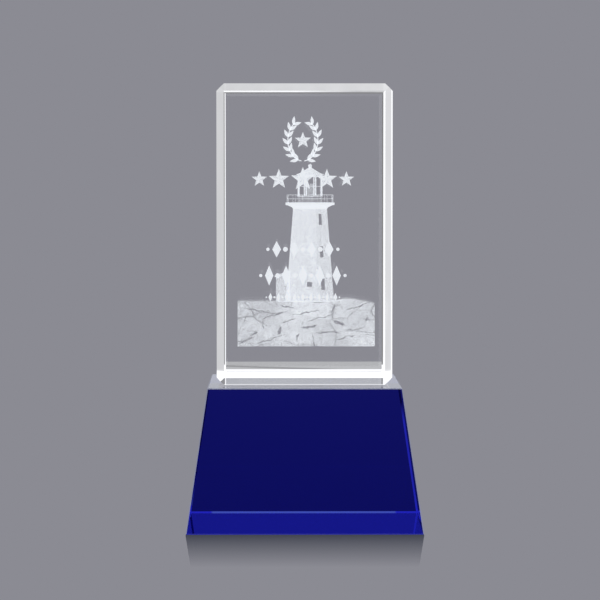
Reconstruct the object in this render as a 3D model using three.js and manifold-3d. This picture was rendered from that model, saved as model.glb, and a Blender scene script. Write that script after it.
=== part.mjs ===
// Engraved-crystal award: a clear optical-glass block bonded upright on a cobalt-blue glass base.
// Millimetres, +Z up, front towards -Y. The origin is the centre of the base's underside.
import * as THREE from "three";
import { mergeVertices } from "three/addons/utils/BufferGeometryUtils.js";
import Module from "manifold-3d";

// The clear block, with every edge cut to the same polished 45 degree chamfer.
const BLOCK_WIDTH = 70;
const BLOCK_DEPTH = 50;
const BLOCK_HEIGHT = 120;
const BLOCK_CHAMFER = 3;

// The blue base: all four walls lean in towards the top, the two side walls the most.
const BASE_WIDTH = 94;
const BASE_DEPTH = 80;
const BASE_TOP_WIDTH = 77;
const BASE_TOP_DEPTH = 72;
const BASE_HEIGHT = 57.4;
const BASE_BEVEL = 0.4; // the fine polished break on each edge of the base

// The clear adhesive fills the seam and covers the block's flat underside, inside the chamfers.
const BOND_THICKNESS = 0.2;

// Two faces whose normals point further apart than this are opposite, and share no edge.
const OPPOSITE_COSINE = -0.9;

const wasm = await Module();
wasm.setup();

// A box standing on z = 0 whose top rectangle can be smaller than its bottom one.
function standingBox(bottom, top, height) {
  const geometry = new THREE.BoxGeometry(bottom.x, bottom.y, height);
  geometry.translate(0, 0, height / 2);
  const corners = geometry.getAttribute("position");
  for (let i = 0; i < corners.count; i++) {
    if (corners.getZ(i) > height / 2) {
      corners.setX(i, Math.sign(corners.getX(i)) * (top.x / 2));
      corners.setY(i, Math.sign(corners.getY(i)) * (top.y / 2));
    }
  }
  return geometry;
}

// The outward planes of that box's six faces.
function facePlanes(bottom, top, height) {
  const leanX = (bottom.x - top.x) / 2;
  const leanY = (bottom.y - top.y) / 2;
  const planes = [];
  for (const side of [-1, 1]) {
    const sideNormal = new THREE.Vector3(side * height, 0, leanX).normalize();
    const frontNormal = new THREE.Vector3(0, side * height, leanY).normalize();
    const sidePoint = new THREE.Vector3((side * bottom.x) / 2, 0, 0);
    const frontPoint = new THREE.Vector3(0, (side * bottom.y) / 2, 0);
    planes.push({ normal: sideNormal, distance: sideNormal.dot(sidePoint) });
    planes.push({ normal: frontNormal, distance: frontNormal.dot(frontPoint) });
  }
  planes.push({ normal: new THREE.Vector3(0, 0, 1), distance: height });
  planes.push({ normal: new THREE.Vector3(0, 0, -1), distance: 0 });
  return planes;
}

// A three.js geometry as a solid that can be cut.
function solidOf(geometry) {
  const bare = geometry.clone();
  bare.deleteAttribute("normal");
  bare.deleteAttribute("uv");
  const merged = mergeVertices(bare);
  return new wasm.Manifold(
    new wasm.Mesh({
      numProp: 3,
      vertProperties: new Float32Array(merged.getAttribute("position").array),
      triVerts: new Uint32Array(merged.index.array),
    }),
  );
}

// A cut solid back as a flat-shaded three.js geometry.
function geometryOf(solid) {
  const mesh = solid.getMesh();
  const shared = new THREE.BufferGeometry();
  shared.setAttribute("position", new THREE.BufferAttribute(mesh.vertProperties, 3));
  shared.setIndex(new THREE.BufferAttribute(mesh.triVerts, 1));
  const geometry = shared.toNonIndexed();
  geometry.computeVertexNormals();
  return geometry;
}

// Grinds every edge of the solid back by the same setback along both of the edge's faces.
function bevelEdges(solid, planes, setback) {
  let cut = solid;
  planes.forEach((first, i) => {
    for (const second of planes.slice(i + 1)) {
      if (first.normal.dot(second.normal) < OPPOSITE_COSINE) continue;
      const sum = first.normal.clone().add(second.normal);
      const edgeDistance = (first.distance + second.distance) / sum.length();
      const depth = setback * Math.sin(first.normal.angleTo(second.normal) / 2);
      const inward = sum.clone().normalize().negate();
      cut = cut.trimByPlane(inward.toArray(), depth - edgeDistance);
    }
  });
  return cut;
}

function bevelledBox(bottom, top, height, setback) {
  const solid = solidOf(standingBox(bottom, top, height));
  return geometryOf(bevelEdges(solid, facePlanes(bottom, top, height), setback));
}

function glassMaterial(color, opacity) {
  return new THREE.MeshStandardMaterial({
    color,
    roughness: 0.02,
    metalness: 0,
    transparent: true,
    opacity,
  });
}

function crystalBase() {
  const bottom = new THREE.Vector2(BASE_WIDTH, BASE_DEPTH);
  const top = new THREE.Vector2(BASE_TOP_WIDTH, BASE_TOP_DEPTH);
  const geometry = bevelledBox(bottom, top, BASE_HEIGHT, BASE_BEVEL);
  const mesh = new THREE.Mesh(geometry, glassMaterial(0x0b0b78, 0.95));
  mesh.name = "crystal_base";
  return mesh;
}

function bondFilm() {
  const geometry = new THREE.BoxGeometry(
    BLOCK_WIDTH - 2 * BLOCK_CHAMFER,
    BLOCK_DEPTH - 2 * BLOCK_CHAMFER,
    BOND_THICKNESS,
  );
  geometry.translate(0, 0, BASE_HEIGHT + BOND_THICKNESS / 2);
  const mesh = new THREE.Mesh(geometry, glassMaterial(0xe6e9ee, 0.4));
  mesh.name = "bond_film";
  return mesh;
}

function crystalBlock() {
  const section = new THREE.Vector2(BLOCK_WIDTH, BLOCK_DEPTH);
  const geometry = bevelledBox(section, section, BLOCK_HEIGHT, BLOCK_CHAMFER);
  geometry.translate(0, 0, BASE_HEIGHT + BOND_THICKNESS);
  const mesh = new THREE.Mesh(geometry, glassMaterial(0xdfe2e6, 0.3));
  mesh.name = "crystal_block";
  return mesh;
}

const award = new THREE.Group();
award.add(crystalBase(), bondFilm(), crystalBlock());

export default award;
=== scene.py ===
"""Looks for the engraved crystal award: glass, the dot engraving inside the block, stage and camera.

Lengths are millimetres in the CAD frame unless a name or comment says otherwise. They go to Blender in
metres. Colours are linear.
"""

import math

import bmesh
import bpy
import numpy as np
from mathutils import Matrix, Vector


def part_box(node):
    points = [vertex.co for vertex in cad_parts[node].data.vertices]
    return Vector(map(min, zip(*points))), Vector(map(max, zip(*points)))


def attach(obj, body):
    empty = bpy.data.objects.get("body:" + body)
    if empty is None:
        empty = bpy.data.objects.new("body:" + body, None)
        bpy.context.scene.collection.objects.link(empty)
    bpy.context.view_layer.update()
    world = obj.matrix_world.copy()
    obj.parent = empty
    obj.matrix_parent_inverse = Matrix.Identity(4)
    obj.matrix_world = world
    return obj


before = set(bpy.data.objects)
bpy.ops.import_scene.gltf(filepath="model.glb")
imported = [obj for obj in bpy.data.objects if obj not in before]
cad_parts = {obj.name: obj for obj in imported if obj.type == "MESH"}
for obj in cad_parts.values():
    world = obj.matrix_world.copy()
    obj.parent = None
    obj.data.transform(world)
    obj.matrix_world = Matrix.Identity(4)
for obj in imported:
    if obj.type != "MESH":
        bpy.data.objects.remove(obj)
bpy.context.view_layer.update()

MM = 0.001

BLOCK_LOW, BLOCK_HIGH = (Vector(corner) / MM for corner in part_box("crystal_block"))
BASE_LOW, BASE_HIGH = (Vector(corner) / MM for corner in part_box("crystal_base"))
BLOCK_X = (BLOCK_LOW.x + BLOCK_HIGH.x) / 2
BLOCK_Y = (BLOCK_LOW.y + BLOCK_HIGH.y) / 2

# Glass. A pair that is called a band runs from where something is full to where it has faded out.
CRYSTAL_IOR = 1.52
FLAT_FACE_COSINE = 0.95  # a face whose normal is nearer an axis than this is a main face, not a bevel
BEVEL_TILT = 0.3  # a bevel's normal has more than this along each of its two axes
SLANTED_COSINE, SQUARE_ON_COSINE = 0.92, 0.97  # how near an axis a slanted and a straight line of sight are
NOISE_SPREAD = (0.3, 0.7)  # most of a noise texture's values lie between these

# The block's chamfers glow with painted light: an emitted glow that stands in for the light they bend and
# mirror. A level of 1 is white, and the cover is the share of the glass that the painted glow hides.
# The colour of the chamfers' painted glow.
PAINTED_CHAMFER_COLOR = (0.97, 0.975, 1.0, 1)
# Painted light: the chamfers are painted brighter towards the right.
OUTER_LEVELS = (0.69, 0.77)  # from the left side to the right
# A painted highlight line along the right-hand edges.
RIGHT_HIGHLIGHT_LEVEL = 0.40  # added along the right-hand edges
# Painted light on the chamfers seen from inside the block.
INNER_LEVEL = 1.15
# Painted light: seen from inside, the top chamfer is painted bright on the left and dimmer towards the
# right.
TOP_DIMMING = (0.45, 0.80)  # the stretch of the top, as shares of its width, over which its glow dims
TOP_LEVELS = (1.10, 0.62)  # before and after that stretch
# A dim painted reflection of the grey backdrop on the chamfers seen from inside.
DARK_LEVEL = 0.24  # an edge that mirrors the backdrop
# The painted bright band along the block's foot, standing in for bright light mirrored in the glass.
FOOT_HIGHLIGHT_LEVEL = 1.2
OUTSIDE_COVER, INSIDE_COVER, LOWEST_COVER = 0.92, 0.97, 0.6
SLANTED_SHARE = 0.5  # what is left of the inner glow at a slant
# Widths of the painted lines of light and dark along the chamfer edges.
EDGE_BAND = (0.48, 0.60)  # widths of the lines along the edges
LEFT_EDGE_BAND = (0.30, 0.45)
# Heights of the painted bright band at the block's foot.
FOOT_BAND = (5.6, 6.4)  # heights above the block's underside
LOWEST_BAND = (0.15, 0.45)
# A painted bright strip at the foot of the rear face.
REAR_STRIP_FOOT, REAR_STRIP_BAND = 3.12, (3.9, 4.1)

# The base. Its bevels carry painted light and painted glints.
COBALT_TINT, COBALT_DENSITY = (0.0, 0.04, 0.775, 1), 57.0  # the density is per metre
MIRROR_TINT = (0.98, 0.98, 1.0, 1)
BASE_BEVEL = 0.4
BASE_LEAN_X, BASE_LEAN_Y = 0.149, 0.070  # how far the base's walls lean in, for each millimetre of height
# Painted light on the base's bevels seen from outside: pale, or a dim blue where they face the floor, each
# emitted.
BEVEL_PAINTED_PALE, BEVEL_PALE_COVER = (0.37, 0.39, 0.47, 1), 0.6
BEVEL_PAINTED_BLUE, BEVEL_BLUE_COVER = (0.018, 0.022, 0.33, 1), 0.95
# Painted glints, emitted, on the base's bevels seen through the glass.
FOOT_GLINT = (5.0, 6.5, 1.35, 1)  # the cobalt takes out most of its red and green
EDGE_GLINT = (1.4, 1.4, 1.4, 1)
FOOT_GLINT_REACH = (37.5, 38.5)  # from the middle of the base
SLANTED_GLINT = 0.4
# Heights over which the painted glint up the rear right edge fades out.
REAR_EDGE_BAND = (38.0, 46.0)  # heights

# The adhesive.
ADHESIVE_TINT = (0.97, 0.98, 1.0, 1)
BUBBLE_WHITE = (0.8, 0.82, 0.86, 1)
BUBBLES_PER_METRE = 120.0
# The rim's painted glow, emitted.
RIM_PAINTED_GLOW = (0.46, 0.47, 0.51, 1)

# The dots.
DOT_PITCH = 0.10
DOT_REACH = 0.78  # a dot's reach where the packing is 1, as a share of the pitch
DOT_BODY = (0.22, 0.23, 0.25, 1)
# The dots' painted glow, emitted, which stands in for the light they scatter.
DOT_PAINTED_GLOW, DOT_GLOW_LEVEL = (0.92, 0.955, 1.01, 1), 0.90
LIGHT_FROM = Vector((-0.50, -0.62, 0.60)).normalized()  # the side the engraved picture is shaded from
GRAZED_PACKING = 0.88  # surfaces that the light only grazes are packed less closely
REAR_PACKING = 0.12  # surfaces that face away from the reader are barely engraved
PICTURE_PACKING, ORNAMENT_PACKING = 0.92, 1.15

# The engraving, measured from the block's centre line and its underside.
PICTURE_FOOT = 15.0  # the picture's straight lower edge
SHORE_LEFT, SHORE_RIGHT = -26.8, 28.3
SHORE_FRONT, SHORE_BACK = -11.0, 13.0
SHORE_RISE = 18.0
SHORE_LEAN = 5.0  # how far the rock face leans back from its foot to its top
TOWER_X, TOWER_Y = 2.4, 4.0
TOWER_SIDES = 8
TOWER_TURN = math.radians(17.5)
TOWER_FOOT, TOWER_TOP = 32.6, 70.0
TOWER_FOOT_RADIUS, TOWER_TOP_RADIUS = 10.2, 7.2
TOWER_COURSES = 6
DECK_Z = 72.4
DECK_TOP = DECK_Z + 0.2
DECK_RADIUS = 10.4
LANTERN_RADIUS = 5.2
LANTERN_EAVES = 83.7
ROOF_TOP = 86.6
ORNAMENT_X = -0.6
ORNAMENT_Y = -13.0  # the depth of the flat layer in front of the picture
LAYER_THICKNESS = 0.3

# The dark crevices scattered over the rock face.
CREVICE_COUNT = 24
CREVICE_SEED = 12
GOLDEN_SHARE = 0.618  # steps of this share of the height never bunch up
NOISE_GRID = 64  # the side of a table of noise, in cells

# Stage. The levels are what the glass sees, by height above the horizon in degrees.
BACKDROP = (0.258, 0.258, 0.292)
GLASS_LOSS = 1.06  # the backdrop is this much brighter behind the glass, which reflects some of it away
HORIZON_TOP = 3.0  # degrees of plain backdrop above the horizon
SKY_LEVELS = (
    (4.2, (0.71, 0.73, 0.77)),
    (10.0, (0.60, 0.62, 0.68)),
    (16.0, (0.46, 0.47, 0.51)),
    (28.0, (0.47, 0.48, 0.51)),
    (40.0, (1.1, 1.1, 1.12)),
    (60.0, (2.0, 2.0, 2.0)),
    (90.0, (2.6, 2.6, 2.6)),
)
BEHIND_CAMERA_DIMMING = 0.9
FLOOR_HALF = 6.0  # in metres
FLOOR_DROP = 0.05
TABLE_NEAR, TABLE_FAR, TABLE_HALF = 0.60, 0.922, 0.30  # the pale table top behind the award, in metres
TABLE_COLOR = (0.485, 0.49, 0.51, 1)
JOINT_PLACE, JOINT_SLOPE, JOINT_DIMMING = TABLE_FAR - 0.068, 0.44, 0.4  # the dark joint across the table
# The base's painted reflection in the floor: a dark emitted sheet that fades with depth.
MIRROR_DEPTH = 13.0
MIRROR_DROP = 0.01
MIRROR_COVER, PAINTED_REFLECTION_COLOR = 0.96, (0.045, 0.050, 0.072, 1)

# Camera: its place from the middle of the seam between base and block, and how it is turned.
EYE_LEFT = 9.6
EYE_AHEAD = 1017.0
EYE_UP = 81.2
CAMERA_LENS = 150.0
CAMERA_TILT = math.radians(2.72)
CAMERA_TURN = math.radians(0.449)


# ---------------------------------------------------------------- node helpers


class Tree:
    """A thin wrapper that makes and links shader nodes."""

    def __init__(self, owner):
        owner.use_nodes = True
        self.tree = owner.node_tree
        self.tree.nodes.clear()

    def node(self, kind, inputs=None, **settings):
        made = self.tree.nodes.new(kind)
        for name, value in settings.items():
            setattr(made, name, value)
        for key, value in (inputs or {}).items():
            self.feed(made.inputs[key], value)
        return made

    def feed(self, socket, value):
        if isinstance(value, bpy.types.NodeSocket):
            self.tree.links.new(value, socket)
        else:
            socket.default_value = value

    def math(self, operation, *values):
        made = self.node("ShaderNodeMath", operation=operation)
        for i, value in enumerate(values):
            self.feed(made.inputs[i], value)
        return made.outputs[0]

    def vector(self, operation, *values):
        made = self.node("ShaderNodeVectorMath", operation=operation)
        for i, value in enumerate(values):
            self.feed(made.inputs[i], value)
        return made.outputs["Value" if operation == "DOT_PRODUCT" else "Vector"]

    def split(self, vector):
        return self.node("ShaderNodeSeparateXYZ", {0: vector}).outputs

    def remap(self, value, low, high, to_low, to_high):
        made = self.node("ShaderNodeMapRange", clamp=True)
        for i, item in enumerate((value, low, high, to_low, to_high)):
            self.feed(made.inputs[i], item)
        return made.outputs[0]

    def fade(self, length, band, full=1.0):
        """Full up to the start of a band and 0 beyond its end. The length is in metres, the band in mm."""
        start, end = band
        return self.remap(length, start * MM, end * MM, full, 0.0)

    def choose(self, switch, off, on):
        """off where the switch is 0 and on where it is 1."""
        return self.remap(switch, 0.0, 1.0, off, on)

    def above(self, value, limit):
        return self.math("GREATER_THAN", value, limit)

    def below(self, value, limit):
        return self.math("LESS_THAN", value, limit)

    def size(self, value):
        """The value without its sign."""
        return self.math("ABSOLUTE", value)

    def invert(self, share):
        return self.math("SUBTRACT", 1.0, share)

    def smaller(self, first, second):
        return self.math("MINIMUM", first, second)

    def larger(self, first, *others):
        for value in others:
            first = self.math("MAXIMUM", first, value)
        return first

    def product(self, first, *others):
        for value in others:
            first = self.math("MULTIPLY", first, value)
        return first

    def ramp(self, value, stops):
        made = self.node("ShaderNodeValToRGB", {0: value})
        elements = made.color_ramp.elements
        while len(elements) > 1:
            elements.remove(elements[-1])
        elements[0].position, elements[0].color = stops[0]
        for position, color in stops[1:]:
            elements.new(position).color = color
        return made.outputs["Color"]

    def object_point(self):
        return self.node("ShaderNodeTexCoord").outputs["Object"]

    def noise(self, scale, detail=2.0, stretch=None):
        point = self.object_point()
        if stretch:
            point = self.vector("MULTIPLY", point, stretch)
        made = self.node("ShaderNodeTexNoise", {"Vector": point, "Scale": scale, "Detail": detail})
        return made.outputs["Fac"]

    def vary(self, noise, low, high):
        """Noise spread over a range."""
        return self.remap(noise, *NOISE_SPREAD, low, high)

    def polish(self, noise, roughest):
        """The roughness of polished glass: none over half of it, and faint marks on the rest."""
        return self.remap(noise, 0.45, 0.8, 0.0, roughest)

    def position(self):
        """The shaded point's x, y and z, in metres."""
        return self.split(self.node("ShaderNodeNewGeometry").outputs["Position"])

    def true_normal(self):
        return self.node("ShaderNodeNewGeometry").outputs["True Normal"]

    def from_inside(self):
        return self.node("ShaderNodeNewGeometry").outputs["Backfacing"]

    def normal_axis(self, axis):
        """One axis of the outward normal, seen from either side of the surface."""
        flip = self.math("MULTIPLY_ADD", self.from_inside(), -2.0, 1.0)
        return self.product(self.split(self.true_normal())[axis], flip)

    def longest_axis(self, direction):
        """How nearly a direction points along one of the main axes: 1 is exactly."""
        return self.larger(*self.split(self.vector("ABSOLUTE", direction)))

    def bevel_mask(self):
        """1 on a bevel or chamfer, 0 on a main face."""
        return self.below(self.longest_axis(self.true_normal()), FLAT_FACE_COSINE)

    def square_on(self, slanted):
        """1 where the line of sight runs along a main axis of the object, and the given level at a slant."""
        sight = self.node("ShaderNodeNewGeometry").outputs["Incoming"]
        return self.remap(self.longest_axis(sight), SLANTED_COSINE, SQUARE_ON_COSINE, slanted, 1.0)

    def light_path(self, kind):
        return self.node("ShaderNodeLightPath").outputs[kind]

    def emission(self, color, strength=1.0):
        return self.node("ShaderNodeEmission", {"Color": color, "Strength": strength}).outputs[0]

    def diffuse(self, color):
        return self.node("ShaderNodeBsdfDiffuse", {"Color": color}).outputs[0]

    def clear(self, tint=(1, 1, 1, 1)):
        return self.node("ShaderNodeBsdfTransparent", {"Color": tint}).outputs[0]

    def mix_shaders(self, factor, first, second):
        made = self.node("ShaderNodeMixShader")
        for i, item in enumerate((factor, first, second)):
            self.feed(made.inputs[i], item)
        return made.outputs[0]

    def open_to_lamps(self, surface):
        """The surface, but clear to shadow rays, so that light reaches what stands inside the glass."""
        return self.mix_shaders(self.light_path("Is Shadow Ray"), surface, self.clear())

    def finish_material(self, surface, volume=None):
        out = self.node("ShaderNodeOutputMaterial", {"Surface": surface})
        if volume is not None:
            self.feed(out.inputs["Volume"], volume)


def new_material(name):
    material = bpy.data.materials.new(name)
    return material, Tree(material)


# ---------------------------------------------------------------- the clear block


def painted_chamfer_level(tree, x, y, foot):
    """How brightly the chamfers' painted light glows: softly from outside, with a painted highlight along
    the right-hand edges, but brightly from inside, with dark edges that are painted reflections of the
    backdrop, and with a painted bright band at the foot.
    """
    across = tree.remap(x, BLOCK_LOW.x * MM, BLOCK_HIGH.x * MM, 0.0, 1.0)
    streaks = tree.noise(scale=160.0, detail=4.0, stretch=(1.0, 1.0, 0.2))
    outer = tree.product(tree.choose(across, *OUTER_LEVELS), tree.vary(streaks, 0.96, 1.04))
    right_gap = tree.math("SUBTRACT", BLOCK_HIGH.x * MM, x)
    # A painted highlight along the right-hand edges.
    outer = tree.math("MULTIPLY_ADD", tree.fade(right_gap, EDGE_BAND), RIGHT_HIGHLIGHT_LEVEL, outer)

    rear_gap = tree.math("SUBTRACT", BLOCK_HIGH.y * MM, y)
    on_top = tree.above(tree.normal_axis(2), BEVEL_TILT)
    bright = tree.choose(on_top, INNER_LEVEL, tree.remap(across, *TOP_DIMMING, *TOP_LEVELS))
    inner = tree.choose(tree.fade(rear_gap, EDGE_BAND), bright, DARK_LEVEL)
    left_inner = tree.choose(tree.fade(rear_gap, LEFT_EDGE_BAND), DARK_LEVEL, INNER_LEVEL)
    on_left = tree.product(tree.below(across, 0.5), tree.invert(on_top))
    inner = tree.choose(on_left, inner, left_inner)
    level = tree.choose(tree.from_inside(), outer, inner)
    return tree.larger(level, tree.product(foot, FOOT_HIGHLIGHT_LEVEL))


def chamfer_cover(tree, height, foot):
    """How much of the glass the painted glow hides. The underside's long chamfers are left clear, but for a
    thin line along their lower edge. A strip at the foot of the rear face is painted bright as well."""
    inside = tree.from_inside()
    sideways = tree.above(tree.size(tree.normal_axis(0)), 0.5)
    upward = tree.above(tree.normal_axis(2), -BEVEL_TILT)
    ground = tree.product(tree.choose(inside, OUTSIDE_COVER, INSIDE_COVER), tree.larger(sideways, upward))
    lowest = tree.fade(height, LOWEST_BAND, LOWEST_COVER)
    chamfers = tree.larger(ground, lowest, tree.product(foot, inside))
    chamfers = tree.product(chamfers, tree.bevel_mask())

    on_rear_face = tree.above(tree.normal_axis(1), FLAT_FACE_COSINE)
    over_chamfer = tree.above(height, REAR_STRIP_FOOT * MM)
    strip = tree.product(tree.fade(height, REAR_STRIP_BAND), over_chamfer, on_rear_face, inside)
    cover = tree.larger(chamfers, strip)
    return tree.product(cover, tree.choose(inside, 1.0, tree.square_on(SLANTED_SHARE)))


def clear_crystal():
    """Polished optical glass. Its upright and top chamfers glow softly with painted light, and their edges
    carry painted highlights. Low down, the chamfers show a painted bright band at the foot of the block."""
    material, tree = new_material("clear_crystal")
    polish = tree.polish(tree.noise(scale=900.0, detail=3.0), 0.008)
    face = tree.node("ShaderNodeBsdfGlass", {"Roughness": polish, "IOR": CRYSTAL_IOR}).outputs[0]
    x, y, z = tree.position()
    height = tree.math("SUBTRACT", z, BLOCK_LOW.z * MM)
    unmirrored = tree.invert(tree.light_path("Is Reflection Ray"))
    # The painted bright band at the block's foot, kept out of reflections seen from outside.
    foot = tree.product(tree.fade(height, FOOT_BAND), tree.larger(tree.from_inside(), unmirrored))
    # The chamfers' painted glow, emitted.
    glow = tree.emission(PAINTED_CHAMFER_COLOR, painted_chamfer_level(tree, x, y, foot))
    cover = chamfer_cover(tree, height, foot)
    tree.finish_material(tree.open_to_lamps(tree.mix_shaders(cover, face, glow)))
    return material


# ---------------------------------------------------------------- the blue base


def cobalt_face(tree, streaks):
    """Polished glass: refraction and reflection, mixed by the angle of sight."""
    polish = tree.polish(streaks, 0.005)
    bend = tree.node(
        "ShaderNodeBsdfRefraction", {"Roughness": polish, "IOR": CRYSTAL_IOR, "Color": (1, 1, 1, 1)}
    )
    mirror = tree.node("ShaderNodeBsdfAnisotropic", {"Roughness": polish, "Color": MIRROR_TINT})
    facing = tree.node("ShaderNodeFresnel", {"IOR": CRYSTAL_IOR}).outputs[0]
    return tree.mix_shaders(facing, bend.outputs[0], mirror.outputs[0])


def outer_bevel(tree, face, streaks):
    """A bevel seen from outside, painted with light: pale, or a dimmer painted blue where it faces the
    floor.
    """
    sparkle = tree.vary(streaks, 0.92, 1.08)
    downward = tree.below(tree.normal_axis(2), -BEVEL_TILT)
    line = tree.mix_shaders(downward, tree.emission(BEVEL_PAINTED_PALE, sparkle), tree.emission(BEVEL_PAINTED_BLUE, sparkle))
    return tree.mix_shaders(tree.choose(downward, BEVEL_PALE_COVER, BEVEL_BLUE_COVER), face, line)


def inner_bevel(tree, face):
    """A bevel seen through the glass, with painted glints: along the front and rear feet, most in the
    middle, and up the rear right edge until they die out near the top."""
    x, _, height = tree.position()
    middle = tree.fade(tree.size(x), FOOT_GLINT_REACH)
    foot_glint = tree.emission(FOOT_GLINT, tree.square_on(SLANTED_GLINT))
    glint = tree.mix_shaders(middle, tree.emission(EDGE_GLINT), foot_glint)
    on_foot = tree.fade(height, (BASE_BEVEL, 1.5 * BASE_BEVEL), 0.9)
    lengthwise = tree.above(tree.size(tree.normal_axis(1)), BEVEL_TILT)
    rear_right = tree.above(tree.smaller(tree.normal_axis(0), tree.normal_axis(1)), BEVEL_TILT)
    rear_edge = tree.product(rear_right, tree.fade(height, REAR_EDGE_BAND, 0.7))
    return tree.mix_shaders(tree.larger(tree.product(on_foot, lengthwise), rear_edge), face, glint)


def blue_crystal():
    """Cobalt glass that darkens with depth, with fine bevels that carry painted light and painted glints."""
    material, tree = new_material("blue_crystal")
    streaks = tree.noise(scale=300.0, detail=3.0)
    face = cobalt_face(tree, streaks)
    edge = tree.mix_shaders(tree.from_inside(), outer_bevel(tree, face, streaks), inner_bevel(tree, face))
    surface = tree.mix_shaders(tree.bevel_mask(), face, edge)
    depth = tree.node("ShaderNodeVolumeAbsorption", {"Color": COBALT_TINT, "Density": COBALT_DENSITY})
    tree.finish_material(tree.open_to_lamps(surface), depth.outputs[0])
    return material


# ---------------------------------------------------------------- the adhesive and the dots


def clear_adhesive():
    """Cured clear adhesive with a few tiny trapped bubbles. Its rim glows with painted light."""
    material, tree = new_material("clear_adhesive")
    bubbles = tree.node("ShaderNodeTexVoronoi", {"Vector": tree.object_point(), "Scale": BUBBLES_PER_METRE})
    spots = tree.remap(bubbles.outputs["Distance"], 0.03, 0.05, 0.6, 0.0)
    film = tree.mix_shaders(spots, tree.clear(ADHESIVE_TINT), tree.diffuse(BUBBLE_WHITE))
    on_rim = tree.below(tree.size(tree.normal_axis(2)), 0.5)
    tree.finish_material(tree.mix_shaders(on_rim, film, tree.emission(RIM_PAINTED_GLOW)))
    return material


def engraved_dots(name, brightness):
    """White micro-cracks: a cloud of dots on the engraved surface, packed closer where it is brighter. Each
    dot is partly a lit grey and partly a painted glow, emitted.
    """
    material, tree = new_material(name)
    lit = tree.vector("DOT_PRODUCT", tree.true_normal(), tuple(LIGHT_FROM))
    shade = tree.remap(tree.size(lit), 0.0, 0.85, GRAZED_PACKING, 1.0)
    rear = tree.remap(tree.normal_axis(1), -0.10, 0.30, 1.0, REAR_PACKING)
    drawn = tree.node("ShaderNodeAttribute", attribute_name="shade").outputs["Fac"]
    grain = tree.vary(tree.noise(scale=900.0, detail=4.0, stretch=(1.0, 1.0, 0.4)), 0.94, 1.04)
    packing = tree.product(shade, rear, tree.product(drawn, grain), brightness)
    cells = tree.node(
        "ShaderNodeTexVoronoi", {"Vector": tree.object_point(), "Scale": 1.0 / (DOT_PITCH * MM)}
    )
    dot = tree.below(cells.outputs["Distance"], tree.product(packing, DOT_REACH))
    # Each dot: a lit grey and a painted glow.
    white = {0: tree.diffuse(DOT_BODY), 1: tree.emission(DOT_PAINTED_GLOW, DOT_GLOW_LEVEL)}
    sparkle = tree.node("ShaderNodeAddShader", white).outputs[0]
    tree.finish_material(tree.mix_shaders(dot, tree.clear(), sparkle))
    return material


# ---------------------------------------------------------------- mesh helpers


def link(obj):
    bpy.context.scene.collection.objects.link(obj)


def piece_from(name, bm, material):
    """Turns a bmesh in millimetres, measured from the block's foot, into a finished piece."""
    origin = Vector((BLOCK_X, BLOCK_Y, BLOCK_LOW.z))
    for vert in bm.verts:
        vert.co = (vert.co + origin) * MM
    bmesh.ops.recalc_face_normals(bm, faces=bm.faces)
    mesh = bpy.data.meshes.new(name)
    bm.to_mesh(mesh)
    bm.free()
    mesh.materials.append(material)
    piece = bpy.data.objects.new(name, mesh)
    link(piece)
    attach(piece, "root")


def new_bmesh():
    """A bmesh whose faces carry a shade: 1 is engraved fully, 0 is left clear."""
    bm = bmesh.new()
    return bm, bm.faces.layers.float.new("shade")


def add_face(bm, layer, corners, shade=1.0):
    bm.faces.new(corners)[layer] = shade


def add_tube(bm, layer, rings, shade=1.0):
    """A closed solid through a stack of rings that all have as many points."""
    sides = len(rings[0])
    for lower, upper in zip(rings, rings[1:]):
        for i in range(sides):
            j = (i + 1) % sides
            add_face(bm, layer, (lower[i], lower[j], upper[j], upper[i]), shade)
    add_face(bm, layer, rings[0][::-1], shade)
    add_face(bm, layer, rings[-1], shade)


def ring_points(radius, z, sides, turn, centre):
    angles = [turn + 2 * math.pi * i / sides for i in range(sides)]
    return [Vector((centre.x + radius * math.sin(a), centre.y - radius * math.cos(a), z)) for a in angles]


def add_lathe(bm, layer, profile, centre, sides=TOWER_SIDES, turn=TOWER_TURN, shade=1.0):
    """A turned solid: profile is (radius, z) pairs from the lower middle to the upper middle."""
    rings = [[bm.verts.new(p) for p in ring_points(r, z, sides, turn, centre)] for r, z in profile]
    add_tube(bm, layer, rings, shade)


def add_bar(bm, layer, start, end, radius, sides=6, shade=1.0):
    """A straight round bar between two points."""
    along = (end - start).normalized()
    across = along.orthogonal().normalized()
    other = along.cross(across)
    turns = [2 * math.pi * i / sides for i in range(sides)]
    rim = [radius * (math.cos(t) * across + math.sin(t) * other) for t in turns]
    add_tube(bm, layer, [[bm.verts.new(point + offset) for offset in rim] for point in (start, end)], shade)


def add_sheet(bm, layer, outline, y, thickness=LAYER_THICKNESS, shade=1.0):
    """A flat shape cut from a sheet: outline is (x, z) pairs."""
    depths = (y, y + thickness)
    add_tube(bm, layer, [[bm.verts.new((x, depth, z)) for x, z in outline] for depth in depths], shade)


# ---------------------------------------------------------------- the engraved lighthouse


def tower_centre():
    return Vector((TOWER_X, TOWER_Y, 0))


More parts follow.
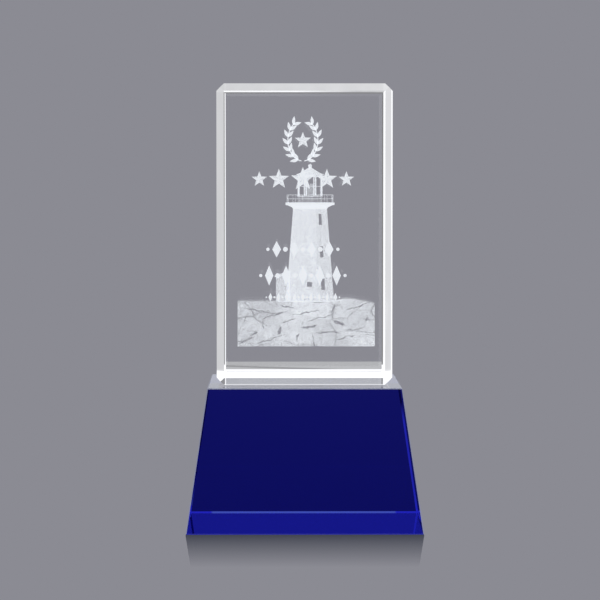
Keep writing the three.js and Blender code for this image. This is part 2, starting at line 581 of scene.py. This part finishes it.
def add_tower_wall(bm, layer, corners, windows, rows, recess=0.25):
    """One wall of the tower, with window openings given as (left, right, foot, top) shares of the wall. All
    the walls are divided at the same rows, so that they meet point to point."""
    foot_left, foot_right, top_left, top_right = corners
    outward = (foot_right - foot_left).cross(top_left - foot_left).normalized()
    columns = sorted({0.0, 1.0, *(w[0] for w in windows), *(w[1] for w in windows)})
    step = 0.001  # just over an edge, as a share of the wall

    def point(share, inset=0.0):
        u, v = share
        place = foot_left.lerp(foot_right, u).lerp(top_left.lerp(top_right, u), v)
        return bm.verts.new(place - inset * outward)

    def glazed(u, v):
        return any(w[0] < u < w[1] and w[2] < v < w[3] for w in windows)

    for left, right in zip(columns, columns[1:]):
        for foot, top in zip(rows, rows[1:]):
            shares = ((left, foot), (right, foot), (right, top), (left, top))
            u, v = (left + right) / 2, (foot + top) / 2
            rim = [point(share) for share in shares]
            if not glazed(u, v):
                add_face(bm, layer, rim, 0.93 + 0.07 * top)
                continue
            pane = [point(share, recess) for share in shares]
            add_face(bm, layer, pane, 0.0)
            beyond = ((u, foot - step), (right + step, v), (u, top + step), (left - step, v))
            for i, neighbour in enumerate(beyond):
                j = (i + 1) % len(beyond)
                if not glazed(*neighbour):
                    add_face(bm, layer, (rim[i], rim[j], pane[j], pane[i]), 0.25)


def lighthouse_tower(material):
    """The tapered eight-sided tower, with slit windows up one wall and a small window in another."""
    bm, layer = new_bmesh()
    foot = ring_points(TOWER_FOOT_RADIUS, TOWER_FOOT, TOWER_SIDES, TOWER_TURN, tower_centre())
    top = ring_points(TOWER_TOP_RADIUS, TOWER_TOP, TOWER_SIDES, TOWER_TURN, tower_centre())
    stair_windows = [(0.27, 0.53, foot_share, foot_share + 0.12) for foot_share in (0.13, 0.48, 0.83)]
    front_window = [(0.43, 0.70, 0.165, 0.215)]
    windows = {0: stair_windows, 7: front_window}
    courses = {i / TOWER_COURSES for i in range(TOWER_COURSES + 1)}
    rows = sorted(courses.union(*(w[2:] for w in stair_windows + front_window)))
    for i in range(TOWER_SIDES):
        j = (i + 1) % TOWER_SIDES
        add_tower_wall(bm, layer, (foot[i], foot[j], top[i], top[j]), windows.get(i, []), rows)
    bmesh.ops.remove_doubles(bm, verts=bm.verts, dist=0.001)
    loose = [vert for vert in bm.verts if not vert.link_faces]
    bmesh.ops.delete(bm, geom=loose, context="VERTS")
    bmesh.ops.holes_fill(bm, edges=[edge for edge in bm.edges if edge.is_boundary])
    piece_from("lighthouse_tower", bm, material)


def lighthouse_gallery(material):
    """The walkway: a flared corbel under a slab."""
    bm, layer = new_bmesh()
    flare = [
        (TOWER_TOP_RADIUS, TOWER_TOP),
        (TOWER_TOP_RADIUS + 0.5, TOWER_TOP + 0.7),
        (DECK_RADIUS - 0.9, DECK_Z - 0.9),
        (DECK_RADIUS, DECK_Z - 0.8),
        (DECK_RADIUS, DECK_TOP),
    ]
    add_lathe(bm, layer, flare, tower_centre(), shade=1.5)
    piece_from("lighthouse_gallery", bm, material)


def lighthouse_railing(material, posts_per_side=2, rails=(1.5, 3.1), inset=0.6):
    """Posts and rails round the walkway."""
    bm, layer = new_bmesh()
    post_radius, rail_radius, shade = 0.12, 0.09, 0.7
    corners = ring_points(DECK_RADIUS - inset, DECK_TOP, TOWER_SIDES, TOWER_TURN, tower_centre())
    for i, corner in enumerate(corners):
        following = corners[(i + 1) % TOWER_SIDES]
        for step in range(posts_per_side):
            foot = corner.lerp(following, step / posts_per_side)
            add_bar(bm, layer, foot, foot + Vector((0, 0, rails[-1])), post_radius, shade=shade)
        for height in rails:
            lift = Vector((0, 0, height))
            add_bar(bm, layer, corner + lift, following + lift, rail_radius, shade=shade)
    piece_from("lighthouse_railing", bm, material)


def lighthouse_lantern(material):
    """The lamp room: a low wall, a sill, glazing bars, a head ring and the lens inside."""
    bm, layer = new_bmesh()
    centre = tower_centre()
    sill, head = DECK_Z + 2.6, LANTERN_EAVES - 0.8
    bar_foot = sill + 0.4
    wall = [(LANTERN_RADIUS, DECK_Z + 0.3), (LANTERN_RADIUS, sill)]
    ledge = [(LANTERN_RADIUS + 0.3, sill), (LANTERN_RADIUS + 0.3, bar_foot)]
    ring = [(LANTERN_RADIUS + 0.1, head), (LANTERN_RADIUS + 0.1, LANTERN_EAVES)]
    for profile, shade in ((wall, 0.45), (ledge, 0.8), (ring, 1.0)):
        add_lathe(bm, layer, profile, centre, shade=shade)
    feet = ring_points(LANTERN_RADIUS - 0.2, bar_foot, TOWER_SIDES, TOWER_TURN, centre)
    halfway = Vector((0, 0, (head - bar_foot) / 2))
    for i, foot in enumerate(feet):
        following = feet[(i + 1) % TOWER_SIDES]
        add_bar(bm, layer, foot, Vector((foot.x, foot.y, head)), 0.28)
        add_bar(bm, layer, foot + halfway, following + halfway, 0.12, shade=0.7)
    lens = [(0.8, sill + 0.6), (1.7, sill + 1.4), (2.1, sill + 2.9), (1.7, sill + 4.4), (0.8, sill + 5.2)]
    add_lathe(bm, layer, lens, centre, sides=16, shade=0.6)
    piece_from("lighthouse_lantern", bm, material)


def lighthouse_roof(material, overhang=0.6, rim=0.3, ball=0.8):
    """The low swept roof with its vent ball."""
    bm, layer = new_bmesh()
    centre = tower_centre()
    rise = ROOF_TOP - LANTERN_EAVES
    roof = [(LANTERN_RADIUS + overhang, LANTERN_EAVES), (LANTERN_RADIUS + overhang, LANTERN_EAVES + rim)]
    for share in (0.15, 0.3, 0.5, 0.7, 0.85, 1.0):
        sweep = (1 - share) ** 1.1
        roof.append((0.4 + (LANTERN_RADIUS - 0.3) * sweep, LANTERN_EAVES + rim + rise * share))
    add_lathe(bm, layer, roof, centre)
    turns = [math.pi * (i + 0.5) / 8 - math.pi / 2 for i in range(8)]
    vent = [(ball * math.cos(t), ROOF_TOP + ball + ball * math.sin(t)) for t in turns]
    add_lathe(bm, layer, vent, centre, sides=12)
    piece_from("lighthouse_roof", bm, material)


def lighthouse_annex(material):
    """The keeper's store against the tower's left side, under a lean-to roof."""
    bm, layer = new_bmesh()
    left, right = -11.4, -5.6
    front, back = 1.0, 9.0
    low_eaves, high_eaves = 42.4, 44.5
    overhang, slab_thickness = 0.5, 0.7
    walls = [(left, TOWER_FOOT), (right, TOWER_FOOT), (right, high_eaves), (left, low_eaves)]
    add_sheet(bm, layer, walls, front, back - front, shade=0.86)
    slab = [(left - overhang, low_eaves), (right + overhang, high_eaves)]
    slab += [(x, z + slab_thickness) for x, z in reversed(slab)]
    add_sheet(bm, layer, slab, front - overhang, back - front + 2 * overhang, shade=0.9)
    piece_from("lighthouse_annex", bm, material)


# ---------------------------------------------------------------- the engraved shore


def smooth_noise(x, y, cell, seed):
    """Value noise from -1 to 1 on a grid of the given cell size."""
    table = np.random.default_rng(seed).uniform(-1, 1, (NOISE_GRID, NOISE_GRID))
    gx, gy = x / cell + NOISE_GRID / 2, y / cell + NOISE_GRID / 2
    ix, iy = np.floor(gx).astype(int), np.floor(gy).astype(int)
    fx, fy = gx - ix, gy - iy
    fx, fy = fx * fx * (3 - 2 * fx), fy * fy * (3 - 2 * fy)

    def row(j):
        left = table[ix % NOISE_GRID, (iy + j) % NOISE_GRID]
        right = table[(ix + 1) % NOISE_GRID, (iy + j) % NOISE_GRID]
        return left * (1 - fx) + right * fx

    return row(0) * (1 - fy) + row(1) * fy


def rock_slabs(x, y, pitch, stretch, seed):
    """Splits the ground into slabs. Returns each point's slab lift and its distance from the nearest
    crack."""
    rng = np.random.default_rng(seed)
    wander = 0.35 * pitch
    wx = x / stretch + wander * smooth_noise(x, y, pitch * 1.3, seed + 1)
    wy = y + wander * smooth_noise(x, y, pitch * 1.3, seed + 2)
    steps = np.arange(-40, 41, pitch)
    sites = np.array([(a, b) for a in steps for b in steps])
    sites = sites + rng.uniform(-0.42, 0.42, sites.shape) * pitch
    lifts = rng.uniform(-1, 1, len(sites))
    tilts = rng.uniform(-1, 1, (len(sites), 2))
    away = np.hypot(wx[..., None] - sites[:, 0], wy[..., None] - sites[:, 1])
    order = np.argsort(away, axis=-1)[..., :2]
    nearest = order[..., 0]
    closest = np.take_along_axis(away, order, -1)
    dx, dy = wx - sites[nearest, 0], wy - sites[nearest, 1]
    lift = lifts[nearest] + (tilts[nearest, 0] * dx + tilts[nearest, 1] * dy) / pitch
    return lift, closest[..., 1] - closest[..., 0]


def shore_outline(x):
    """How far the rock's top edge is above its usual level: a dip under the tower and a hump beside it."""
    hump = 1.0 * np.exp(-(((x - 17) / 6) ** 2))
    dip = -0.7 * np.exp(-(((x - 6) / 5) ** 2))
    fall = -0.8 * np.clip((x - 20) / 8, 0, 1) ** 2
    return hump + dip + fall


def crevices():
    """The crevices as (x, z, x, z, half width): long ones near level, steep ones and short wide gaps."""
    rng = np.random.default_rng(CREVICE_SEED)
    for i in range(CREVICE_COUNT):
        x = SHORE_LEFT + (SHORE_RIGHT - SHORE_LEFT) * (i + rng.uniform(0.1, 0.9)) / CREVICE_COUNT
        z = PICTURE_FOOT + SHORE_RISE * (0.08 + 0.84 * ((i * GOLDEN_SHARE) % 1))
        slope, length, half_width = rng.uniform(-22, 22), rng.uniform(6.0, 14.0), rng.uniform(0.20, 0.36)
        if i % 3 == 1:
            slope, length = slope + 75, length * 0.5
        if i % 5 == 2:
            length, half_width = length * 0.5, half_width * 2.6
        reach_x = length / 2 * math.cos(math.radians(slope))
        reach_z = length / 2 * math.sin(math.radians(slope))
        yield x - reach_x, z - reach_z, x + reach_x, z + reach_z, half_width


def crevice_mask(x, z):
    """1 inside the dark crevices of the rock face, 0 outside them. They wander and have ragged sides."""
    bent_x = x + 0.5 * smooth_noise(x, z, 2.4, 31) + 0.2 * smooth_noise(x, z, 0.8, 33)
    bent_z = z + 0.6 * smooth_noise(x, z, 2.8, 37) + 0.2 * smooth_noise(x, z, 0.8, 39)
    ragged = 0.8 + 0.5 * smooth_noise(x, z, 1.2, 41)
    mask = np.zeros_like(x)
    for x0, z0, x1, z1, width in crevices():
        run, climb = x1 - x0, z1 - z0
        share = np.clip(((bent_x - x0) * run + (bent_z - z0) * climb) / (run**2 + climb**2), 0, 1)
        away = np.hypot(bent_x - x0 - share * run, bent_z - z0 - share * climb)
        taper = np.clip(5 * np.minimum(share, 1 - share), 0.3, 1)
        mask = np.maximum(mask, np.clip(1.8 * (1 - away / (width * ragged * taper)), 0, 1))
    hatching = 0.85 + 0.35 * smooth_noise(x, z, 0.5, 43)
    return np.clip(mask * hatching, 0, 1)


def rock_tone(x, z, lift):
    """How fully the sound rock is engraved: slab by slab, in patches, and most under the tower."""
    under_tower = 0.05 * np.exp(-(((x - 1) / 10) ** 2))
    patches = 0.08 * smooth_noise(x, z, 7.0, 9)
    grain = 0.05 * smooth_noise(x, z, 1.0, 7)
    return 0.84 + under_tower + 0.03 * lift + patches + grain


def rock_face(x, share):
    """The front of the rock: its depth, its height and its tone, over x and the share of the way up it."""
    z = PICTURE_FOOT + share * (SHORE_RISE + shore_outline(x))
    lift, gap = rock_slabs(x, z, pitch=7.0, stretch=2.2, seed=11)
    fine_lift, fine_gap = rock_slabs(x, z, pitch=2.6, stretch=2.0, seed=23)
    lift = lift * np.clip(gap / 1.4, 0, 1)
    fine_lift = fine_lift * np.clip(fine_gap / 0.6, 0, 1)
    rough = np.clip(0.55 - (x - SHORE_LEFT) / 40, 0.1, 0.55) * (1 - 0.5 * share)
    crack = np.exp(-gap / 0.22) * np.clip(0.5 + 1.2 * smooth_noise(x, z, 6.0, 13), 0, 1)
    fine_crack = np.exp(-fine_gap / 0.14) * rough
    dark = crevice_mask(x, z)
    relief = 0.5 * lift + 0.15 * fine_lift * rough + 0.25 * smooth_noise(x, z, 2.5, 5)
    y = SHORE_FRONT + SHORE_LEAN * share**1.3 - relief * (1 - share**4) + 0.8 * dark
    tone = rock_tone(x, z, lift) - 0.5 * crack - 0.45 * fine_crack
    return y, z, np.clip(tone * (1 - 0.82 * dark), 0.06, 1.0)


def rock_shore(material, columns=230, face_rows=90, top_rows=24):
    """A piece of rocky shore, cut straight at its sides, back and foot, with a flat top."""
    top_shade, back_shade, foot_shade, side_shade = 0.55, 0.6, 0.2, 0.5
    across = np.linspace(SHORE_LEFT, SHORE_RIGHT, columns)
    x, share = np.meshgrid(across, np.linspace(0, 1, face_rows), indexing="ij")
    y, z, tone = rock_face(x, share)
    top_x, depth = np.meshgrid(across, np.linspace(0, 1, top_rows)[1:], indexing="ij")
    rim_y, rim_z = y[:, -1:], z[:, -1:]
    top_y = rim_y + depth * (SHORE_BACK - rim_y)
    top_z = rim_z + 0.25 * smooth_noise(top_x, top_y, 3.0, 17) * depth
    x, y, z = (np.concatenate(pair, axis=1) for pair in ((x, top_x), (y, top_y), (z, top_z)))
    tone = np.concatenate((tone, np.full(top_x.shape, top_shade)), axis=1)

    bm, layer = new_bmesh()
    rows = x.shape[1]
    sheet = [[bm.verts.new((x[i, j], y[i, j], z[i, j])) for j in range(rows)] for i in range(columns)]
    for i in range(columns - 1):
        for j in range(rows - 1):
            corners = (sheet[i][j], sheet[i + 1][j], sheet[i + 1][j + 1], sheet[i][j + 1])
            add_face(bm, layer, corners, float(tone[i, j]))
    back_foot = [bm.verts.new((column[-1].co.x, SHORE_BACK, PICTURE_FOOT)) for column in sheet]
    for i in range(columns - 1):
        j = i + 1
        add_face(bm, layer, (sheet[j][-1], sheet[i][-1], back_foot[i], back_foot[j]), back_shade)
        add_face(bm, layer, (back_foot[j], back_foot[i], sheet[i][0], sheet[j][0]), foot_shade)
    add_face(bm, layer, [back_foot[0]] + sheet[0][::-1], side_shade)
    add_face(bm, layer, [back_foot[-1]] + sheet[-1], side_shade)
    piece_from("rock_shore", bm, material)


# ---------------------------------------------------------------- the flat front layer


def add_star(bm, layer, x, z, outer, points=5, inner_share=0.42):
    """A pointed star whose points are lit on one side."""
    count = 2 * points
    rim = []
    for i in range(count):
        reach = outer if i % 2 == 0 else outer * inner_share
        turn = math.pi / 2 + 2 * math.pi * i / count
        rim.append((x + reach * math.cos(turn), z + reach * math.sin(turn)))
    front_y, back_y = ORNAMENT_Y, ORNAMENT_Y + LAYER_THICKNESS
    front_middle, back_middle = bm.verts.new((x, front_y, z)), bm.verts.new((x, back_y, z))
    front = [bm.verts.new((px, front_y, pz)) for px, pz in rim]
    back = [bm.verts.new((px, back_y, pz)) for px, pz in rim]
    for i in range(count):
        j = (i + 1) % count
        shade = 1.0 if i % 2 == 0 else 0.8
        add_face(bm, layer, (front_middle, front[i], front[j]), shade)
        add_face(bm, layer, (back_middle, back[j], back[i]), shade)
        add_face(bm, layer, (front[i], front[j], back[j], back[i]), shade)


def add_lozenge(bm, layer, x, z, half_width, half_height):
    outline = [(x, z - half_height), (x + half_width, z), (x, z + half_height), (x - half_width, z)]
    add_sheet(bm, layer, outline, ORNAMENT_Y)


def add_bead(bm, layer, x, z, radius, sides=12):
    turns = [2 * math.pi * i / sides for i in range(sides)]
    add_sheet(bm, layer, [(x + radius * math.cos(t), z + radius * math.sin(t)) for t in turns], ORNAMENT_Y)


def leaf_outline(root, angle, length, width, steps=7):
    """A pointed leaf from its root along an angle."""
    along = Vector((math.cos(angle), math.sin(angle)))
    across = Vector((-along.y, along.x))
    shares = [i / steps for i in range(steps + 1)]
    half_widths = [width / 2 * math.sin(math.pi * share**0.8) for share in shares]
    upper = list(zip(shares, half_widths))
    lower = [(share, -half_width) for share, half_width in upper[-2:0:-1]]
    return [Vector(root) + length * share * along + side * across for share, side in upper + lower]


def wreath(material, z=97.5, half_width=6.0, half_height=8.2, pairs=7):
    """Two laurel sprays that rise from the foot round a small star."""
    bm, layer = new_bmesh()
    leaf_length, leaf_width, stem_width = 3.4, 1.3, 0.4
    leaf_lean = math.radians(34)
    stem_steps = 20

    def stem(side, share, offset=0.0):
        turn = math.radians(-84 + 142 * share)
        reach_x, reach_z = half_width + offset, half_height + offset
        return (ORNAMENT_X + side * reach_x * math.cos(turn), z + reach_z * math.sin(turn))

    for side in (-1, 1):
        shares = [i / stem_steps for i in range(stem_steps + 1)]
        outer = [stem(side, share, stem_width / 2) for share in shares]
        inner = [stem(side, share, -stem_width / 2) for share in shares]
        add_sheet(bm, layer, outer + inner[::-1], ORNAMENT_Y)
        for i in range(pairs):
            share = (i + 0.6) / pairs
            before, root, after = (stem(side, share + step) for step in (-0.01, 0.0, 0.01))
            heading = math.atan2(after[1] - before[1], after[0] - before[0])
            for lean in (-leaf_lean, leaf_lean):
                leaf = leaf_outline(root, heading + lean, leaf_length, leaf_width)
                add_sheet(bm, layer, leaf, ORNAMENT_Y)
    add_star(bm, layer, ORNAMENT_X, z, 3.4)
    piece_from("wreath", bm, material)


def star_row(material, z=82.0):
    """Five stars, the largest in the middle."""
    bm, layer = new_bmesh()
    for offset, outer in ((0.0, 4.9), (9.6, 4.2), (17.4, 3.2)):
        for x in {-offset, offset}:
            add_star(bm, layer, ORNAMENT_X + x, z, outer)
    piece_from("star_row", bm, material)


def lozenge_row(name, material, z, half_length, height, count):
    """Upright lozenges with a bead in each gap and a smaller bead beyond each end."""
    bm, layer = new_bmesh()
    pitch = 2 * half_length / (count - 1)
    bead = pitch * 0.14
    for i in range(count):
        x = ORNAMENT_X - half_length + i * pitch
        add_lozenge(bm, layer, x, z, pitch * 0.25, height / 2)
        if i + 1 < count:
            add_bead(bm, layer, x + pitch / 2, z, bead)
    for side in (-1, 1):
        add_bead(bm, layer, ORNAMENT_X + side * (half_length + pitch / 2), z, bead * 0.7)
    piece_from(name, bm, material)


# ---------------------------------------------------------------- stage


def studio_world():
    """What the glass sees: plain grey at the horizon, a pale band over it, a grey wall and a wide soft light
    overhead. Low down behind the camera it is dim. The camera itself sees only the plain grey backdrop."""
    world = bpy.data.worlds.new("studio")
    bpy.context.scene.world = world
    tree = Tree(world)
    _, ahead, height = tree.split(tree.node("ShaderNodeTexCoord").outputs["Generated"])
    behind_glass = tuple(level * GLASS_LOSS for level in BACKDROP)
    stops = [
        (math.sin(math.radians(degrees)) / 2 + 0.5, (*color, 1))
        for degrees, color in ((HORIZON_TOP, behind_glass), *SKY_LEVELS)
    ]
    sky = tree.ramp(tree.math("MULTIPLY_ADD", height, 0.5, 0.5), stops)
    behind_camera = tree.remap(ahead, -0.985, -0.93, 1.0, 0.0)
    low = tree.remap(height, 0.06, 0.14, 1.0, 0.0)
    level = tree.math("MULTIPLY_ADD", tree.product(behind_camera, low), -BEHIND_CAMERA_DIMMING, 1.0)
    light = tree.node("ShaderNodeBackground", {"Color": sky, "Strength": level}).outputs[0]
    plain = tree.node("ShaderNodeBackground", {"Color": (*BACKDROP, 1)}).outputs[0]
    seen = tree.light_path("Is Camera Ray")
    tree.node("ShaderNodeOutputWorld", {"Surface": tree.mix_shaders(seen, light, plain)})


def stage_object(name, points, faces, material):
    mesh = bpy.data.meshes.new(name)
    mesh.from_pydata([Vector(point) * MM for point in points], [], faces)
    mesh.materials.append(material)
    made = bpy.data.objects.new(name, mesh)
    link(made)


def floor_material():
    """Grey paper, with a pale table top that shows behind the award low down in the glass. It is clear to
    the camera, which sees the backdrop in its place."""
    material, tree = new_material("floor_paper")
    x, y, _ = tree.position()
    beside = tree.below(tree.size(x), TABLE_HALF)
    table = tree.product(beside, tree.above(y, TABLE_NEAR), tree.below(y, TABLE_FAR))
    off_joint = tree.math("SUBTRACT", tree.math("MULTIPLY_ADD", x, JOINT_SLOPE, y), JOINT_PLACE)
    joint = tree.remap(tree.size(off_joint), 0.004, 0.012, 1.0, 0.0)
    fibres = tree.vary(tree.noise(scale=40.0, detail=4.0), 0.99, 1.01)
    level = tree.product(tree.remap(y, -0.60, -0.30, 0.1, GLASS_LOSS), fibres)
    paper = tree.emission((*BACKDROP, 1), level)
    top = tree.emission(TABLE_COLOR, tree.math("MULTIPLY_ADD", joint, -JOINT_DIMMING, fibres))
    lit = tree.mix_shaders(table, paper, top)
    tree.finish_material(tree.mix_shaders(tree.light_path("Is Camera Ray"), lit, tree.clear()))
    return material


def mirror_material():
    """The base's dim reflection in the floor, painted as a dark emitted sheet that fades with depth; only
    the camera sees it.
    """
    material, tree = new_material("floor_mirror")
    strength = tree.remap(tree.position()[2], -MIRROR_DEPTH * MM, 0.0, 0.0, MIRROR_COVER)
    shown = tree.product(strength, tree.invert(tree.from_inside()), tree.light_path("Is Camera Ray"))
    tree.finish_material(tree.mix_shaders(shown, tree.clear(), tree.emission(PAINTED_REFLECTION_COLOR)))
    return material


def mirror_ring(z, inset_x, inset_y, cut):
    """The outline of the base's reflection at one depth, with its four corners cut."""
    left, right = BASE_LOW.x + inset_x, BASE_HIGH.x - inset_x
    front, back = BASE_LOW.y + inset_y, BASE_HIGH.y - inset_y
    return [
        (left, front + cut, z),
        (left + cut, front, z),
        (right - cut, front, z),
        (right, front + cut, z),
        (right, back - cut, z),
        (right - cut, back, z),
        (left + cut, back, z),
        (left, back - cut, z),
    ]


def floor():
    half = FLOOR_HALF / MM
    corners = [(x, y, -FLOOR_DROP) for x, y in ((-half, -half), (half, -half), (half, half), (-half, half))]
    stage_object("floor", corners, [(0, 1, 2, 3)], floor_material())


def floor_mirror():
    """The walls of the base mirrored below the floor, to carry the painted reflection."""
    rings = [
        mirror_ring(-MIRROR_DROP, BASE_BEVEL, BASE_BEVEL, BASE_BEVEL),
        mirror_ring(-BASE_BEVEL, 0.0, 0.0, BASE_BEVEL),
        mirror_ring(-MIRROR_DEPTH, MIRROR_DEPTH * BASE_LEAN_X, MIRROR_DEPTH * BASE_LEAN_Y, BASE_BEVEL),
    ]
    count = len(rings[0])
    walls = []
    for first in range(0, count * (len(rings) - 1), count):
        for i in range(count):
            j = (i + 1) % count
            walls.append((first + count + i, first + count + j, first + j, first + i))
    stage_object("floor_mirror", sum(rings, []), walls, mirror_material())


def camera():
    data = bpy.data.cameras.new("camera")
    data.sensor_width = 36.0
    data.lens = CAMERA_LENS
    data.clip_start, data.clip_end = 0.05, 50.0
    eye = bpy.data.objects.new("camera", data)
    link(eye)
    eye.location = Vector((BLOCK_X - EYE_LEFT, BLOCK_Y - EYE_AHEAD, BLOCK_LOW.z + EYE_UP)) * MM
    eye.rotation_euler = (math.pi / 2 - CAMERA_TILT, 0, -CAMERA_TURN)
    bpy.context.scene.camera = eye


def light_paths():
    """Enough bounces to follow light through both pieces of glass and the layers of dots."""
    scene = bpy.context.scene
    scene.view_settings.view_transform = "Standard"
    scene.cycles.max_bounces = 24
    scene.cycles.transmission_bounces = 24
    scene.cycles.glossy_bounces = 16
    scene.cycles.transparent_max_bounces = 48
    scene.cycles.caustics_reflective = False
    scene.cycles.caustics_refractive = False


# ---------------------------------------------------------------- build


def set_material(node, material):
    mesh = bpy.data.objects[node].data
    mesh.materials.clear()
    mesh.materials.append(material)


def build():
    set_material("crystal_block", clear_crystal())
    set_material("crystal_base", blue_crystal())
    set_material("bond_film", clear_adhesive())

    picture = engraved_dots("engraved_picture", PICTURE_PACKING)
    lighthouse_tower(picture)
    lighthouse_gallery(picture)
    lighthouse_railing(picture)
    lighthouse_lantern(picture)
    lighthouse_roof(picture)
    lighthouse_annex(picture)
    rock_shore(picture)

    ornament = engraved_dots("engraved_ornament", ORNAMENT_PACKING)
    wreath(ornament)
    star_row(ornament)
    lozenge_row("ornament_upper", ornament, z=54.0, half_length=10.5, height=6.6, count=4)
    lozenge_row("ornament_middle", ornament, z=43.5, half_length=13.5, height=8.0, count=5)
    lozenge_row("ornament_lower", ornament, z=34.8, half_length=13.0, height=3.4, count=9)

    studio_world()
    floor()
    floor_mirror()
    camera()
    light_paths()


build()
